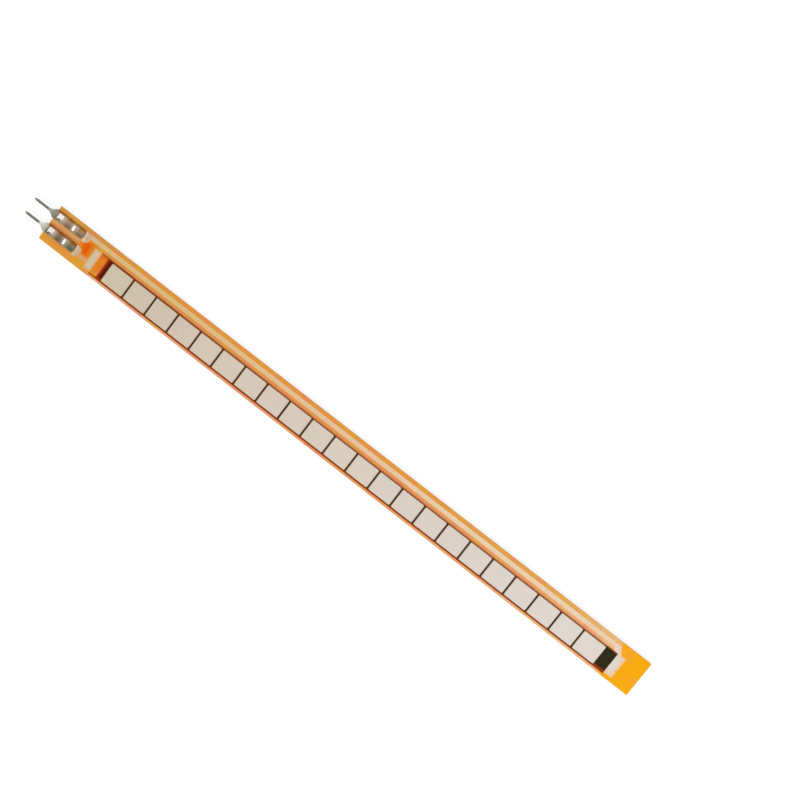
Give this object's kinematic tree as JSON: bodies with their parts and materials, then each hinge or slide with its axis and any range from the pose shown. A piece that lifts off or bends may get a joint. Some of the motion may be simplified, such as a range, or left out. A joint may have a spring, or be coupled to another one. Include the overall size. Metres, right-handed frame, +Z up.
{
  "type": "flex sensor",
  "caption": "Flat amber film bend sensor with a row of printed silver fields on a dark resistive strip, a return trace beside it and two crimped pin contacts at one end.",
  "frame": {"origin": "middle of the whole outline, at the level of the lowest point: the underside of the clenched contact prongs", "axes": "+X along the strip from the pins to the bare tail, +Y across it towards the return trace, +Z up, out of the printed face"},
  "size_m": [0.1162, 0.006, 0.0011],
  "materials": {
    "amber_film": "amber polyimide film, satin gloss",
    "silver_ink": "printed silver ink, matt",
    "carbon_ink": "printed carbon ink, matt black",
    "tile_ink": "printed silver ink, matt warm grey",
    "tinned_contact": "stamped and tinned metal, worn bright on the raised edges"
  },
  "bodies": {
    "root": {"base_film": "amber_film", "return_conductor": "silver_ink", "start_conductor": "silver_ink", "resistive_strip": "carbon_ink", "return_contact": "tinned_contact", "start_contact": "tinned_contact", "tile_01": "tile_ink", "tile_02": "tile_ink", "tile_03": "tile_ink", "tile_04": "tile_ink", "tile_05": "tile_ink", "tile_06": "tile_ink", "tile_07": "tile_ink", "tile_08": "tile_ink", "tile_09": "tile_ink", "tile_10": "tile_ink", "tile_11": "tile_ink", "tile_12": "tile_ink", "tile_13": "tile_ink", "tile_14": "tile_ink", "tile_15": "tile_ink", "tile_16": "tile_ink", "tile_17": "tile_ink", "tile_18": "tile_ink", "tile_19": "tile_ink", "tile_20": "tile_ink", "tile_21": "tile_ink", "tile_22": "tile_ink"}
  },
  "joints": []
}
